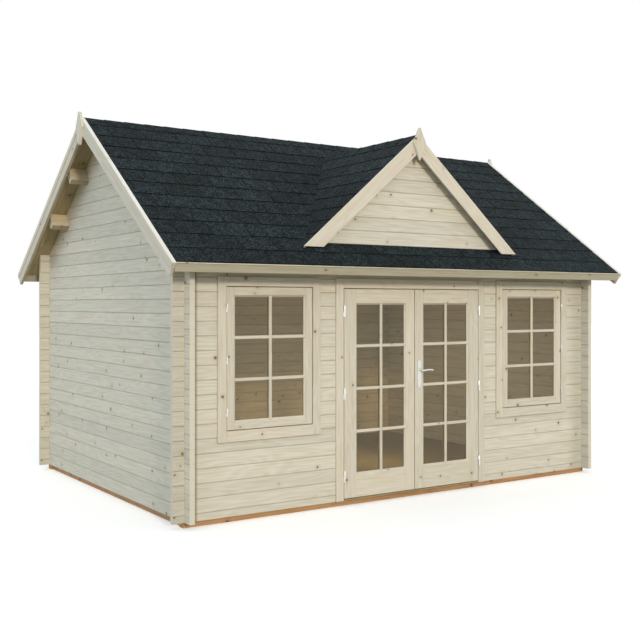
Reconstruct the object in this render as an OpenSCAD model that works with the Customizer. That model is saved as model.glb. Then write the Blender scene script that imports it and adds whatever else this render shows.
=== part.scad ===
// Log garden house with a gabled roof, a front dormer, glazed double doors and two windows.
// Millimetres, +Z up. The front faces -Y. X is centred on the doors, Y on the roof ridge,
// and Z is zero at the underside of the ground bearers.

/* [Walls] */
// Width between the outer faces of the side walls
house_w = 4500; // [4200:10:5600]
// Depth between the outer faces of the front and back walls
house_d = 3250; // [2800:10:4200]
// Thickness of a wall log
log_t = 44; // [38:1:60]
// Height of one log course
log_h = 114; // [104:1:126]
// Length of a log end past the corner
log_end = 95; // [60:1:130]
// Depth of the groove between two courses
groove = 4; // [2:0.5:6]
// Play round a log where two walls cross
notch_play = 0.4; // [0.2:0.1:0.8]
// Full courses from the half log to the sill of the windows
sill_courses = 5; // [4:1:7]
// Full courses from the half log to the heads of the doors and windows
head_courses = 16; // [16:1:18]
// Wall height from the heads to the roof, at the front face
over_head = 265; // [180:1:400]

/* [Floor] */
// Height of the ground bearers and joists
bearer_h = 45; // [35:1:70]
// Width of the ground bearers and joists
bearer_w = 70; // [60:1:100]
// Setback of the bearers behind the wall faces
bearer_inset = 18; // [5:1:25]
// Joists between the side bearers
joist_count = 5; // [3:1:8]
// Thickness of the floor boards
floor_t = 19; // [16:1:28]
// Gap between the floor boards and the walls
floor_gap = 5; // [2:1:10]

/* [Roof] */
// Pitch of the main roof
roof_pitch = 35.5; // [30:0.5:40]
// Overhang of the eaves past the front and back walls
eave_over = 265; // [200:5:340]
// Overhang of the barge boards past the side walls
gable_over = 228; // [160:1:280]
// Thickness of the roof boards
deck_t = 18; // [15:1:24]
// Thickness of the shingle covering
skin_t = 6; // [4:0.5:10]
// Play under the roof boards and under the dormer
roof_play = 0.1; // [0.05:0.05:0.5]
// Thickness of the fascias and the dormer barge boards
trim_t = 20; // [16:1:26]
// Thickness of the gables' barge boards
barge_t = 28; // [20:1:34]
// Width of the barge boards
barge_w = 120; // [100:1:150]
// Length of the barge boards past the fascias, along the slope
barge_over = 25; // [10:1:60]
// Height of the eave fascias
fascia_h = 71; // [60:1:100]
// Width of a purlin
purlin_w = 62; // [44:1:80]
// Depth of a purlin, square to the slope
purlin_h = 142; // [100:1:160]
// Distance of the upper purlins from the ridge line
purlin_upper = 527; // [430:1:620]
// Distance of the lower purlins from the ridge line
purlin_lower = 1074; // [950:1:1180]
// Distance of a purlin's end behind the barge board
purlin_back = 30; // [0:1:60]

/* [Dormer] */
// Pitch of the dormer roof
dormer_pitch = 40.5; // [38:0.5:44]
// Drop from the main ridge to the dormer ridge
dormer_drop = 160; // [100:5:300]
// Setback of the dormer's boarded face behind the front wall's face
dormer_setback = 15; // [5:1:60]
// Overhang of the dormer roof in front of its boarded face
dormer_over = 70; // [50:1:120]
// Thickness of the dormer's boarded face
dormer_t = 18; // [15:1:28]
// Height of a dormer face board
dormer_board = 118; // [100:1:140]
// Width of the dormer barge boards
dormer_barge_w = 125; // [100:1:150]
// Gap under the feet of the dormer barge boards
dormer_gap = 8; // [4:1:20]

/* [Finials] */
// Height of a finial
finial_h = 290; // [220:5:360]
// Greatest width of a finial
finial_w = 140; // [100:1:170]
// Drop from a finial's top to its greatest width
finial_drop = 134; // [100:1:160]
// Width of a finial's top
finial_tip = 18; // [10:1:30]
// Width of a finial's foot
finial_foot = 8; // [4:1:20]
// Thickness of a finial
finial_t = 24; // [18:1:34]
// Height of a gable finial's top above the roof ridge
finial_rise = 46; // [20:1:80]
// Height of the dormer finial's top above the dormer ridge
dormer_finial_rise = 58; // [20:1:80]

/* [Doors] */
// Width of one door leaf
leaf_w = 764; // [680:1:820]
// Thickness of a door leaf
leaf_t = 40; // [36:1:44]
// Gap round a door leaf
leaf_gap = 5.5; // [5:0.5:8]
// Gap between the two leaves
meeting_gap = 7; // [6:0.5:10]
// Width of a leaf's stile at the hinges
hinge_stile = 125; // [100:1:150]
// Width of a leaf's stile at the middle
meeting_stile = 96; // [90:1:130]
// Height of a leaf's bottom rail
bottom_rail = 199; // [150:1:300]
// Height of a leaf's top rail
top_rail = 124; // [100:1:160]
// Height of the door frame's head piece
door_head = 75; // [60:1:100]
// Height of the threshold
threshold_h = 13; // [10:1:25]
// Greatest thickness of a door jamb in the wall
jamb_t = 36; // [30:1:48]
// Width of the face casing round the doors and windows
casing_w = 76; // [65:1:95]
// Projection of the casing in front of the wall
casing_t = 20; // [14:1:26]
// Lap of the casing over the wall above the heads
casing_lap = 8; // [4:1:20]
// Lap of the stop behind a leaf or a sash
stop_lap = 12; // [8:1:16]

/* [Hardware] */
// Height of one half of a hinge barrel
hinge_h = 48; // [40:1:55]
// Radius of a hinge barrel
hinge_r = 8; // [7:0.5:9]
// Radius of a hinge pin
pin_r = 4; // [3:0.5:5]
// Play round a hinge pin and between the barrel halves
pin_play = 0.3; // [0.2:0.1:0.4]
// Distance of the hinge pins in front of the leaf face
hinge_out = 9.5; // [9.5:0.5:11]
// Width of the lugs that hold a hinge barrel
lug_w = 14; // [12:1:18]
// Height of the top and bottom hinges from the leaf's ends
hinge_end = 190; // [150:5:260]
// Height of the handle's pivot above the leaf's foot
handle_z = 1062; // [900:1:1100]
// Length of the handle plate
plate_h = 250; // [220:1:280]
// Width of the handle plate
plate_w = 36; // [30:1:44]
// Thickness of the handle plate
plate_t = 6; // [5:0.5:8]
// Height of the plate above the handle's pivot
plate_up = 90; // [60:1:110]
// Distance of the key cylinder below the handle's pivot
key_drop = 92; // [72:1:110]
// Radius of the key cylinder's cover
key_r = 10; // [8:0.5:12]
// Thickness of the key cylinder's cover
key_t = 4; // [3:0.5:6]
// Radius of the lever's neck
neck_r = 9; // [7:0.5:10]
// Radius of the lever's bar
lever_r = 8; // [6:0.5:9]
// Reach of the lever from its pivot
lever_reach = 124; // [100:1:140]
// Distance of the lever's bar from the leaf face
lever_out = 50; // [40:1:60]

/* [Windows] */
// Share of the free wall beside a window that lies on the doors' side
window_share = 0.36; // [0.2:0.01:0.6]
// Width of a window's opening in the wall
window_w = 884; // [700:1:900]
// Width of the frame round a sash
window_frame = 36; // [30:1:48]
// Height of the frame under a sash
window_sill_rail = 47; // [36:1:60]
// Height of the frame over a sash
window_head_rail = 69; // [50:1:80]
// Depth of the casing below the window's opening
window_apron = 40; // [30:1:60]
// Gap round a sash
sash_gap = 2; // [1:0.5:4]
// Thickness of a sash
sash_t = 38; // [34:1:42]
// Setback of a sash behind the casing's face
sash_set = 8; // [4:1:12]
// Width of a sash's stiles and head rail
sash_w = 70; // [60:1:90]
// Height of a sash's foot rail
sash_foot = 64; // [55:1:90]
// Thickness of the glass
glass_t = 4; // [3:0.5:6]
// Lap of the glass into its frame
glass_lap = 10; // [6:1:14]
// Play round the glass in its groove
glass_play = 0.3; // [0.2:0.1:0.6]

/* [Hidden] */

// Colours of the finishes
cream = "#D2CBB6";
pale_trim = "#D0CDB8";
brown_wood = "#B58250";
raw_wood = "#A08A66";
slate_grey = "#2A3235";
glass_brown = [0.47, 0.42, 0.33, 0.5];
silver = "#C8C9C6";

// Walls
half_w = house_w / 2;
half_d = house_d / 2;
wall_z = bearer_h;
front_joint = wall_z + log_h / 2;
side_joint = wall_z + log_h;
sill_z = front_joint + sill_courses * log_h;
head_z = front_joint + head_courses * log_h;
plate_z = head_z + over_head;
front_len = house_w + 2 * log_end;
side_len = house_d + 2 * log_end;
cut = 1;
tiny = 0.001;

// Roof
roof_tan = tan(roof_pitch);
deck_v = deck_t / cos(roof_pitch);
skin_v = skin_t / cos(roof_pitch);
under_ridge_z = plate_z + roof_play + half_d * roof_tan;
ridge_z = under_ridge_z + deck_v + skin_v;
fascia_y = half_d + eave_over;
barge_x = half_w + gable_over;
roof_half = barge_x - barge_t;
barge_y = fascia_y + barge_over * cos(roof_pitch);
barge_v = barge_w / cos(roof_pitch);
purlin_half = roof_half - purlin_back;

// Dormer
dormer_tan = tan(dormer_pitch);
dormer_deck_v = deck_t / cos(dormer_pitch);
dormer_skin_v = skin_t / cos(dormer_pitch);
dormer_ridge_z = ridge_z - dormer_drop;
dormer_face_y = half_d - dormer_setback;
dormer_front_y = dormer_face_y + dormer_over;
dormer_foot_z = ridge_z - dormer_front_y * roof_tan + dormer_gap;
dormer_half = (dormer_ridge_z - dormer_foot_z) / dormer_tan;
dormer_barge_v = dormer_barge_w / cos(dormer_pitch);

// Doors
face_y = half_d + casing_t;
door_half = meeting_gap / 2 + leaf_w + leaf_gap;
door_open_half = door_half + jamb_t;
door_casing_half = door_half + casing_w;
threshold_z = wall_z + threshold_h;
leaf_z = threshold_z + leaf_gap;
leaf_top = head_z - door_head - leaf_gap;
leaf_h = leaf_top - leaf_z;
door_stop_y = face_y - leaf_t - leaf_gap;
lining_y = half_d - log_t;
hinge_x = meeting_gap / 2 + leaf_w + leaf_gap / 2;
hinge_y = face_y + hinge_out;
hinge_zs = [
    leaf_z + hinge_end - hinge_h,
    leaf_z + leaf_h / 2 - hinge_h,
    leaf_top - hinge_end - hinge_h
];
pin_h = hinge_h - 2 * pin_play;
handle_x = meeting_gap / 2 + meeting_stile / 2;
pivot_z = leaf_z + handle_z;

// Windows
frame_half = window_w / 2 - window_frame;
window_casing_half = frame_half + casing_w;
free_wall = half_w - door_casing_half - 2 * window_casing_half;
window_x = door_casing_half + window_share * free_wall + window_casing_half;
sash_half = frame_half - sash_gap;
sash_z = sill_z + window_sill_rail + sash_gap;
sash_top = head_z - window_head_rail - sash_gap;
sash_y = face_y - sash_set;
glass_y = sash_y - sash_t / 2;

function under_z(y) = under_ridge_z - abs(y) * roof_tan;
function seat_z(y) = under_z(y) - roof_play;
function top_z(y) = ridge_z - abs(y) * roof_tan;

// Carries an outline drawn in Y and Z along X, centred
module along_x(length) {
    rotate([90, 0, 90])
        linear_extrude(length, center = true)
            children();
}

// Carries an outline drawn in X and Z along Y, centred
module along_y(length) {
    rotate([90, 0, 0])
        linear_extrude(length, center = true)
            children();
}

// A box from its lowest and highest corners
module block(low, high) {
    translate(low)
        cube(high - low);
}

// Draws the left or the right one of a pair that is drawn on the right
module on_side(side) {
    if (side < 0)
        mirror([1, 0, 0])
            children();
    else
        children();
}

// Draws the front or the back one of a pair that is drawn at the back
module on_slope(slope) {
    if (slope < 0)
        mirror([0, 1, 0])
            children();
    else
        children();
}

// Course joints from the first one up to a height
function joints(first, top) = [for (z = first; z < top + tiny; z = z + log_h) z];

function on_joint(z, js) = len([for (j = js) if (abs(j - z) < tiny) j]) > 0;

// One face of a stack of logs, from z0 up to z1, with a groove at each joint
function stack_face(z0, z1, js) = concat(
    on_joint(z0, js) ? [] : [[0, z0]],
    [for (j = js, p = [[0, j - groove], [groove, j], [0, j + groove]])
        if (p[1] > z0 - tiny && p[1] < z1 - groove) p],
    on_joint(z1, js) ? [[0, z1 - groove], [groove, z1]] : [[0, z1]]
);

// Section of a stack of logs: outer face at zero, inner face at the log's thickness
function stack_section(z0, outer_z, inner_z, first) =
    let (
        outer = stack_face(z0, outer_z, joints(first, outer_z)),
        inner = stack_face(z0, inner_z, joints(first, inner_z)),
        last = len(inner) - 1
    )
    concat(outer, [for (i = [last : -1 : 0]) [log_t - inner[i][0], inner[i][1]]]);

// Heights between which the logs of the side walls cross the other walls
side_cores = [for (z = wall_z + log_h / 4; z < plate_z; z = z + log_h) [z, z + log_h / 2]];

// Heights between which the logs of the front and back walls cross the side walls
front_cores = concat(
    [[wall_z - log_h / 4, wall_z + log_h / 4]],
    [for (z = wall_z + log_h * 3 / 4; z < plate_z + log_t * roof_tan; z = z + log_h) [z, z + log_h / 2]]
);

// Notches in the front or back wall, where the side walls' logs pass, between two heights
module front_notches(z0, z1) {
    for (core = side_cores, side = [-1, 1])
        if (core[1] > z0 && core[0] < z1)
            on_side(side)
                block(
                    [half_w - log_t - notch_play, half_d - log_t - cut, core[0] - notch_play / 2],
                    [half_w + notch_play, half_d + cut, core[1] + notch_play / 2]
                );
}

// Notches in a side wall, where the front and back walls' logs pass
module side_notches() {
    for (core = front_cores, slope = [-1, 1])
        on_slope(slope)
            block(
                [half_w - log_t - cut, half_d - log_t - notch_play, core[0] - notch_play / 2],
                [half_w + cut, half_d + notch_play, core[1] + notch_play / 2]
            );
}

// Stack of logs across the house, drawn at the back, from one X to another
module cross_stack(x0, x1, z0, outer_z, inner_z) {
    translate([(x0 + x1) / 2, half_d, 0])
        mirror([0, 1, 0])
            along_x(x1 - x0)
                polygon(stack_section(z0, outer_z, inner_z, front_joint));
}

module back_wall() {
    color(cream)
        difference() {
            cross_stack(-front_len / 2, front_len / 2, wall_z, plate_z, plate_z + log_t * roof_tan);
            front_notches(wall_z, plate_z);
        }
}

module front_wall_top() {
    color(cream)
        mirror([0, 1, 0])
            difference() {
                cross_stack(-front_len / 2, front_len / 2, head_z, plate_z, plate_z + log_t * roof_tan);
                front_notches(head_z, plate_z);
            }
}

// Front wall beside the doors, up to the heads, open round a window
module front_wall_side(side) {
    color(cream)
        mirror([0, 1, 0])
            on_side(side)
                difference() {
                    cross_stack(door_open_half, front_len / 2, wall_z, head_z, head_z);
                    front_notches(wall_z, head_z);
                    block(
                        [window_x - window_w / 2, half_d - log_t - cut, sill_z],
                        [window_x + window_w / 2, half_d + cut, head_z + cut]
                    );
                }
}

module front_wall_left() {
    front_wall_side(-1);
}

module front_wall_right() {
    front_wall_side(1);
}

// Outline of a gable wall under the roof boards, in Y and Z
module gable_outline() {
    polygon([
        [-side_len / 2, wall_z],
        [side_len / 2, wall_z],
        [side_len / 2, seat_z(side_len / 2)],
        [0, seat_z(0)],
        [-side_len / 2, seat_z(side_len / 2)]
    ]);
}

// Section of one purlin, square to the rear slope and grown by a play
module purlin_outline(y, play) {
    half = (purlin_w / 2 + play) * cos(roof_pitch);
    depth = purlin_h + play;
    y0 = y - half;
    y1 = y + half;
    back = depth * sin(roof_pitch);
    drop = depth * cos(roof_pitch);
    polygon([
        [y0 - back, seat_z(y0) - drop],
        [y1 - back, seat_z(y1) - drop],
        [y1, seat_z(y1) + play],
        [y0, seat_z(y0) + play]
    ]);
}

// Side wall with its gable, notched at the corners and for the purlins
module side_wall(side) {
    stack_top = under_ridge_z + log_h;
    color(cream)
        on_side(side)
            difference() {
                intersection() {
                    translate([half_w, 0, 0])
                        mirror([1, 0, 0])
                            along_y(side_len)
                                polygon(stack_section(wall_z, stack_top, stack_top, side_joint));
                    along_x(front_len)
                        gable_outline();
                }
                side_notches();
                for (y = [purlin_upper, purlin_lower], slope = [-1, 1])
                    on_slope(slope)
                        along_x(front_len)
                            purlin_outline(y, notch_play);
            }
}

module left_wall() {
    side_wall(-1);
}

module right_wall() {
    side_wall(1);
}

// One bearer under the front wall and one under the back wall
module long_bearers() {
    color(brown_wood)
        for (slope = [-1, 1])
            on_slope(slope)
                block(
                    [-half_w, half_d - bearer_inset - bearer_w, 0],
                    [half_w, half_d - bearer_inset, bearer_h]
                );
}

// One bearer under each side wall, between the long ones
module side_bearers() {
    inner_y = half_d - bearer_inset - bearer_w;
    color(brown_wood)
        for (side = [-1, 1])
            on_side(side)
                block(
                    [half_w - bearer_inset - bearer_w, -inner_y, 0],
                    [half_w - bearer_inset, inner_y, bearer_h]
                );
}

// Joists between the long bearers, under the floor boards
module floor_joists() {
    inner_y = half_d - bearer_inset - bearer_w;
    pitch = 2 * (half_w - bearer_inset - bearer_w / 2) / (joist_count + 1);
    color(brown_wood)
        for (i = [1 : joist_count])
            translate([(i - (joist_count + 1) / 2) * pitch, 0, 0])
                block([-bearer_w / 2, -inner_y, 0], [bearer_w / 2, inner_y, bearer_h]);
}

module floor_deck() {
    x = half_w - log_t - floor_gap;
    y = half_d - log_t - floor_gap;
    color(raw_wood)
        block([-x, -y, bearer_h], [x, y, bearer_h + floor_t]);
}

// Two purlins under one slope, let into the gable walls
module purlins(slope) {
    color(raw_wood)
        on_slope(slope)
            for (y = [purlin_upper, purlin_lower])
                along_x(2 * purlin_half)
                    purlin_outline(y, 0);
}

module front_purlins() {
    purlins(-1);
}

module rear_purlins() {
    purlins(1);
}

// Sheet of the rear slope between two heights above the rafter line, mitred at the ridge
module slope_sheet(y_end, low, high) {
    along_x(2 * roof_half)
        polygon([
            [0, under_ridge_z + low],
            [0, under_ridge_z + high],
            [y_end, under_z(y_end) + high],
            [y_end, under_z(y_end) + low]
        ]);
}

module roof_deck(slope) {
    color(raw_wood)
        on_slope(slope)
            slope_sheet(fascia_y - trim_t, 0, deck_v);
}

module front_roof_deck() {
    roof_deck(-1);
}

module rear_roof_deck() {
    roof_deck(1);
}

module shingles(slope) {
    color(slate_grey)
        on_slope(slope)
            slope_sheet(fascia_y, deck_v, deck_v + skin_v);
}

module front_shingles() {
    shingles(-1);
}

module rear_shingles() {
    shingles(1);
}

// Board along an eave, on the ends of the roof boards and under the shingles
module fascia(slope) {
    y0 = fascia_y - trim_t;
    color(pale_trim)
        on_slope(slope)
            along_x(2 * roof_half)
                polygon([
                    [y0, under_z(fascia_y) + deck_v - fascia_h],
                    [fascia_y, under_z(fascia_y) + deck_v - fascia_h],
                    [fascia_y, under_z(fascia_y) + deck_v],
                    [y0, under_z(y0) + deck_v]
                ]);
}

module front_fascia() {
    fascia(-1);
}

module rear_fascia() {
    fascia(1);
}

// Board along a gable's edge, square at its foot and mitred at the ridge
module barge(side, slope) {
    foot_y = barge_y - barge_w * sin(roof_pitch);
    foot_z = top_z(barge_y) - barge_w * cos(roof_pitch);
    color(pale_trim)
        on_side(side)
            on_slope(slope)
                translate([barge_x - barge_t / 2, 0, 0])
                    along_x(barge_t)
                        polygon([
                            [0, ridge_z - barge_v],
                            [0, ridge_z],
                            [barge_y, top_z(barge_y)],
                            [foot_y, foot_z]
                        ]);
}

module left_front_barge() {
    barge(-1, -1);
}

module left_rear_barge() {
    barge(-1, 1);
}

module right_front_barge() {
    barge(1, -1);
}

module right_rear_barge() {
    barge(1, 1);
}

// Kite-shaped finial with blunt ends, its top at zero
module finial_outline() {
    polygon([
        [-finial_tip / 2, 0],
        [finial_tip / 2, 0],
        [finial_w / 2, -finial_drop],
        [finial_foot / 2, -finial_h],
        [-finial_foot / 2, -finial_h],
        [-finial_w / 2, -finial_drop]
    ]);
}

module gable_finial(side) {
    color(pale_trim)
        on_side(side)
            translate([barge_x + finial_t / 2, 0, ridge_z + finial_rise])
                along_x(finial_t)
                    finial_outline();
}

module left_finial() {
    gable_finial(-1);
}

module right_finial() {
    gable_finial(1);
}

// Everything below the front slope's covering and the play over it
module below_roof() {
    along_x(2 * barge_x)
        polygon([
            [0, ridge_z + roof_play],
            [-barge_y, top_z(barge_y) + roof_play],
            [-barge_y, 0],
            [0, 0]
        ]);
}

// Sheet of the dormer roof's right slope, between two drops below its surface
module dormer_sheet(high, low) {
    difference() {
        translate([0, -dormer_front_y / 2, 0])
            along_y(dormer_front_y)
                polygon([
                    [0, dormer_ridge_z - low],
                    [0, dormer_ridge_z - high],
                    [dormer_half, dormer_ridge_z - high - dormer_half * dormer_tan],
                    [dormer_half, dormer_ridge_z - low - dormer_half * dormer_tan]
                ]);
        below_roof();
    }
}

module dormer_deck(side) {
    color(raw_wood)
        on_side(side)
            dormer_sheet(dormer_skin_v, dormer_skin_v + dormer_deck_v);
}

module dormer_deck_left() {
    dormer_deck(-1);
}

module dormer_deck_right() {
    dormer_deck(1);
}

module dormer_shingles(side) {
    color(slate_grey)
        on_side(side)
            dormer_sheet(0, dormer_skin_v);
}

module dormer_shingles_left() {
    dormer_shingles(-1);
}

module dormer_shingles_right() {
    dormer_shingles(1);
}

// Boarded face of the dormer, standing on the main slope
module dormer_gable() {
    apex_z = dormer_ridge_z - dormer_skin_v - dormer_deck_v - roof_play;
    base_z = top_z(dormer_face_y);
    half = (apex_z - base_z) / dormer_tan;
    color(cream)
        difference() {
            translate([0, -dormer_face_y + dormer_t / 2, 0])
                along_y(dormer_t)
                    polygon([[-half, base_z], [half, base_z], [0, apex_z]]);
            below_roof();
            for (z = [base_z + dormer_board : dormer_board : apex_z - dormer_board / 2])
                translate([0, -dormer_face_y, z])
                    rotate([45, 0, 0])
                        cube([2 * half, groove * sqrt(2), groove * sqrt(2)], center = true);
        }
}

// Board along the dormer's edge, level at its foot
module dormer_barge(side) {
    inner = dormer_half - dormer_barge_v / dormer_tan;
    color(pale_trim)
        on_side(side)
            translate([0, -dormer_front_y - trim_t / 2, 0])
                along_y(trim_t)
                    polygon([
                        [0, dormer_ridge_z - dormer_barge_v],
                        [0, dormer_ridge_z],
                        [dormer_half, dormer_foot_z],
                        [inner, dormer_foot_z]
                    ]);
}

module dormer_barge_left() {
    dormer_barge(-1);
}

module dormer_barge_right() {
    dormer_barge(1);
}

module dormer_finial() {
    color(pale_trim)
        translate([0, -dormer_front_y - trim_t - finial_t / 2, dormer_ridge_z + dormer_finial_rise])
            along_y(finial_t)
                finial_outline();
}

// Frame with casing: jambs, head and stops, open at the foot
module door_frame() {
    color(pale_trim)
        difference() {
            union() {
                block(
                    [-door_casing_half, -face_y, wall_z],
                    [door_casing_half, -half_d, head_z + casing_lap]
                );
                block([-door_open_half, -half_d - cut, wall_z], [door_open_half, -lining_y, head_z]);
            }
            block(
                [-door_half, -face_y - cut, wall_z - cut],
                [door_half, -door_stop_y, leaf_top + leaf_gap]
            );
            block(
                [-door_half + stop_lap, -face_y - cut, wall_z - cut],
                [door_half - stop_lap, -lining_y + cut, leaf_top + leaf_gap - stop_lap]
            );
            block(
                [-door_half, -face_y - cut, wall_z - cut],
                [door_half, -lining_y + cut, threshold_z]
            );
        }
}

module door_threshold() {
    color(raw_wood)
        block([-door_half, -face_y, wall_z], [door_half, -lining_y, threshold_z]);
}

// Glass of an opening, let into the frame round it: low and high corners in X and Z
module pane(low, high, y, play) {
    reach = glass_lap + play;
    block(
        [low[0] - reach, -y - glass_t / 2 - play, low[1] - reach],
        [high[0] + reach, -y + glass_t / 2 + play, high[1] + reach]
    );
}

leaf_glass_low = [meeting_gap / 2 + meeting_stile, leaf_z + bottom_rail];
leaf_glass_high = [meeting_gap / 2 + leaf_w - hinge_stile, leaf_top - top_rail];
leaf_glass_y = face_y - leaf_t / 2;

// Stiles and rails of one leaf, grooved for the glass
module leaf(side) {
    color(cream)
        on_side(side)
            difference() {
                block(
                    [meeting_gap / 2, -face_y, leaf_z],
                    [meeting_gap / 2 + leaf_w, -face_y + leaf_t, leaf_top]
                );
                block(
                    [leaf_glass_low[0], -face_y - cut, leaf_glass_low[1]],
                    [leaf_glass_high[0], -face_y + leaf_t + cut, leaf_glass_high[1]]
                );
                pane(leaf_glass_low, leaf_glass_high, leaf_glass_y, glass_play);
            }
}

module leaf_glass(side) {
    color(glass_brown)
        on_side(side)
            pane(leaf_glass_low, leaf_glass_high, leaf_glass_y, 0);
}

module left_door() {
    leaf(-1);
}

module right_door() {
    leaf(1);
}

module left_door_glass() {
    leaf_glass(-1);
}

module right_door_glass() {
    leaf_glass(1);
}

// Lower halves of the hinges with their pins, held on the casing
module door_hinge_pins() {
    color(silver)
        for (side = [-1, 1], z = hinge_zs)
            on_side(side)
                translate([hinge_x, -hinge_y, z]) {
                    cylinder(h = hinge_h, r = hinge_r, $fn = 48);
                    cylinder(h = hinge_h + pin_h, r = pin_r, $fn = 48);
                    block([0, 0, 0], [lug_w, hinge_out, hinge_h]);
                }
}

// Upper halves of one leaf's hinges, bored for the pins
module leaf_hinges(side) {
    color(silver)
        on_side(side)
            for (z = hinge_zs)
                translate([hinge_x, -hinge_y, z + hinge_h + pin_play])
                    difference() {
                        union() {
                            cylinder(h = hinge_h, r = hinge_r, $fn = 48);
                            block([-lug_w, 0, 0], [0, hinge_out, hinge_h]);
                        }
                        translate([0, 0, -cut])
                            cylinder(h = hinge_h - pin_play + cut, r = pin_r + pin_play, $fn = 48);
                    }
}

module left_door_hinges() {
    leaf_hinges(-1);
}

module right_door_hinges() {
    leaf_hinges(1);
}

// Long plate on the right leaf's meeting stile, with the key cylinder's cover
module handle_plate() {
    color(silver)
        translate([handle_x, -face_y, pivot_z])
            difference() {
                union() {
                    block([-plate_w / 2, -plate_t, plate_up - plate_h], [plate_w / 2, 0, plate_up]);
                    translate([0, -plate_t, -key_drop])
                        rotate([90, 0, 0])
                            cylinder(h = key_t, r = key_r, $fn = 48);
                }
                rotate([90, 0, 0])
                    translate([0, 0, -cut])
                        cylinder(h = plate_t + 2 * cut, r = neck_r + pin_play, $fn = 48);
            }
}

// Lever: a neck out of the plate and a bar towards the hinges, with a round end
module door_lever() {
    bar = lever_reach - lever_r;
    color(silver)
        translate([handle_x, -face_y - pin_play, pivot_z])
            rotate([90, 0, 0]) {
                cylinder(h = lever_out - pin_play, r = neck_r, $fn = 48);
                translate([0, 0, lever_out - pin_play])
                    sphere(r = neck_r, $fn = 48);
                translate([0, 0, lever_out - pin_play])
                    rotate([0, 90, 0])
                        cylinder(h = bar, r = lever_r, $fn = 48);
                translate([bar, 0, lever_out - pin_play])
                    sphere(r = lever_r, $fn = 48);
            }
}

// Window frame with casing and a stop behind the sash
module window_frame_piece(side) {
    low_z = sill_z + window_sill_rail;
    high_z = head_z - window_head_rail;
    stop_y = sash_y - sash_t;
    color(pale_trim)
        on_side(side)
            translate([window_x, 0, 0])
                difference() {
                    union() {
                        block(
                            [-window_casing_half, -face_y, sill_z - window_apron],
                            [window_casing_half, -half_d, head_z + casing_lap]
                        );
                        block([-window_w / 2, -half_d - cut, sill_z], [window_w / 2, -lining_y, head_z]);
                    }
                    block([-frame_half, -face_y - cut, low_z], [frame_half, -stop_y, high_z]);
                    block(
                        [-frame_half + stop_lap, -face_y - cut, low_z + stop_lap],
                        [frame_half - stop_lap, -lining_y + cut, high_z - stop_lap]
                    );
                }
}

module left_window_frame() {
    window_frame_piece(-1);
}

module right_window_frame() {
    window_frame_piece(1);
}

window_glass_low = [-sash_half + sash_w, sash_z + sash_foot];
window_glass_high = [sash_half - sash_w, sash_top - sash_w];

// Stiles and rails of a window sash, grooved for the glass
module sash(side) {
    color(cream)
        on_side(side)
            translate([window_x, 0, 0])
                difference() {
                    block([-sash_half, -sash_y, sash_z], [sash_half, -sash_y + sash_t, sash_top]);
                    block(
                        [window_glass_low[0], -sash_y - cut, window_glass_low[1]],
                        [window_glass_high[0], -sash_y + sash_t + cut, window_glass_high[1]]
                    );
                    pane(window_glass_low, window_glass_high, glass_y, glass_play);
                }
}

module sash_glass(side) {
    color(glass_brown)
        on_side(side)
            translate([window_x, 0, 0])
                pane(window_glass_low, window_glass_high, glass_y, 0);
}

module left_window_sash() {
    sash(-1);
}

module right_window_sash() {
    sash(1);
}

module left_window_glass() {
    sash_glass(-1);
}

module right_window_glass() {
    sash_glass(1);
}

long_bearers();
side_bearers();
floor_joists();
floor_deck();
front_wall_left();
front_wall_right();
front_wall_top();
back_wall();
left_wall();
right_wall();
front_purlins();
rear_purlins();
front_roof_deck();
rear_roof_deck();
front_shingles();
rear_shingles();
front_fascia();
rear_fascia();
left_front_barge();
left_rear_barge();
right_front_barge();
right_rear_barge();
left_finial();
right_finial();
dormer_gable();
dormer_deck_left();
dormer_deck_right();
dormer_shingles_left();
dormer_shingles_right();
dormer_barge_left();
dormer_barge_right();
dormer_finial();
door_frame();
door_threshold();
door_hinge_pins();
left_door();
left_door_glass();
left_door_hinges();
right_door();
right_door_glass();
right_door_hinges();
handle_plate();
door_lever();
left_window_frame();
left_window_sash();
left_window_glass();
right_window_frame();
right_window_sash();
right_window_glass();
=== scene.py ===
import math

import bpy
import numpy as np
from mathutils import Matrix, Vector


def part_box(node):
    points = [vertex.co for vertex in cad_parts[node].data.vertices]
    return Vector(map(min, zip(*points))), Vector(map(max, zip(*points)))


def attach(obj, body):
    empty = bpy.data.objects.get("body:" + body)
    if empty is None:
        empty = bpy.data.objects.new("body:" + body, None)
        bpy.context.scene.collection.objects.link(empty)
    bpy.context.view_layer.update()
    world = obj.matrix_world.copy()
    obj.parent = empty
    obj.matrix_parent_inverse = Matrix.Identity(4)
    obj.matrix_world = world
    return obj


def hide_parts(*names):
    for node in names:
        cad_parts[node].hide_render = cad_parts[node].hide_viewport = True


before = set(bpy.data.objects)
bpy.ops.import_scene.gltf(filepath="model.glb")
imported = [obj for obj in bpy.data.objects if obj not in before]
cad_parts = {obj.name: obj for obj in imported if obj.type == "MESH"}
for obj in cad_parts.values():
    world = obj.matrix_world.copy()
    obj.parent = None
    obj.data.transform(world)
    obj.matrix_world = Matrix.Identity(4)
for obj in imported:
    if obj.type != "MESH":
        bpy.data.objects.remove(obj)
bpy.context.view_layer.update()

SEED = 4500
rng = np.random.default_rng(SEED)

# Sizes of the house in metres, as its solids have them
MAIN_PITCH = math.radians(35.5)
DORMER_PITCH = math.radians(40.5)
DECK = 0.018
SKIN = 0.006
LOG = 0.114
DORMER_BOARD = 0.118
# Heights at which the first full logs of the front and side walls start
FRONT_FIRST, SIDE_FIRST = 0.102, 0.045
UP = np.array([0.0, 0.0, 1.0])
OUTWARD = np.array([0.0, -1.0, 0.0])
SIDES = ((-1, "left"), (1, "right"))
SLOPES = ((-1, "front"), (1, "rear"))


def span(node):
    """Lowest and highest corner of a solid, as arrays."""
    low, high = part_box(node)
    return np.array(low), np.array(high)


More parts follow.
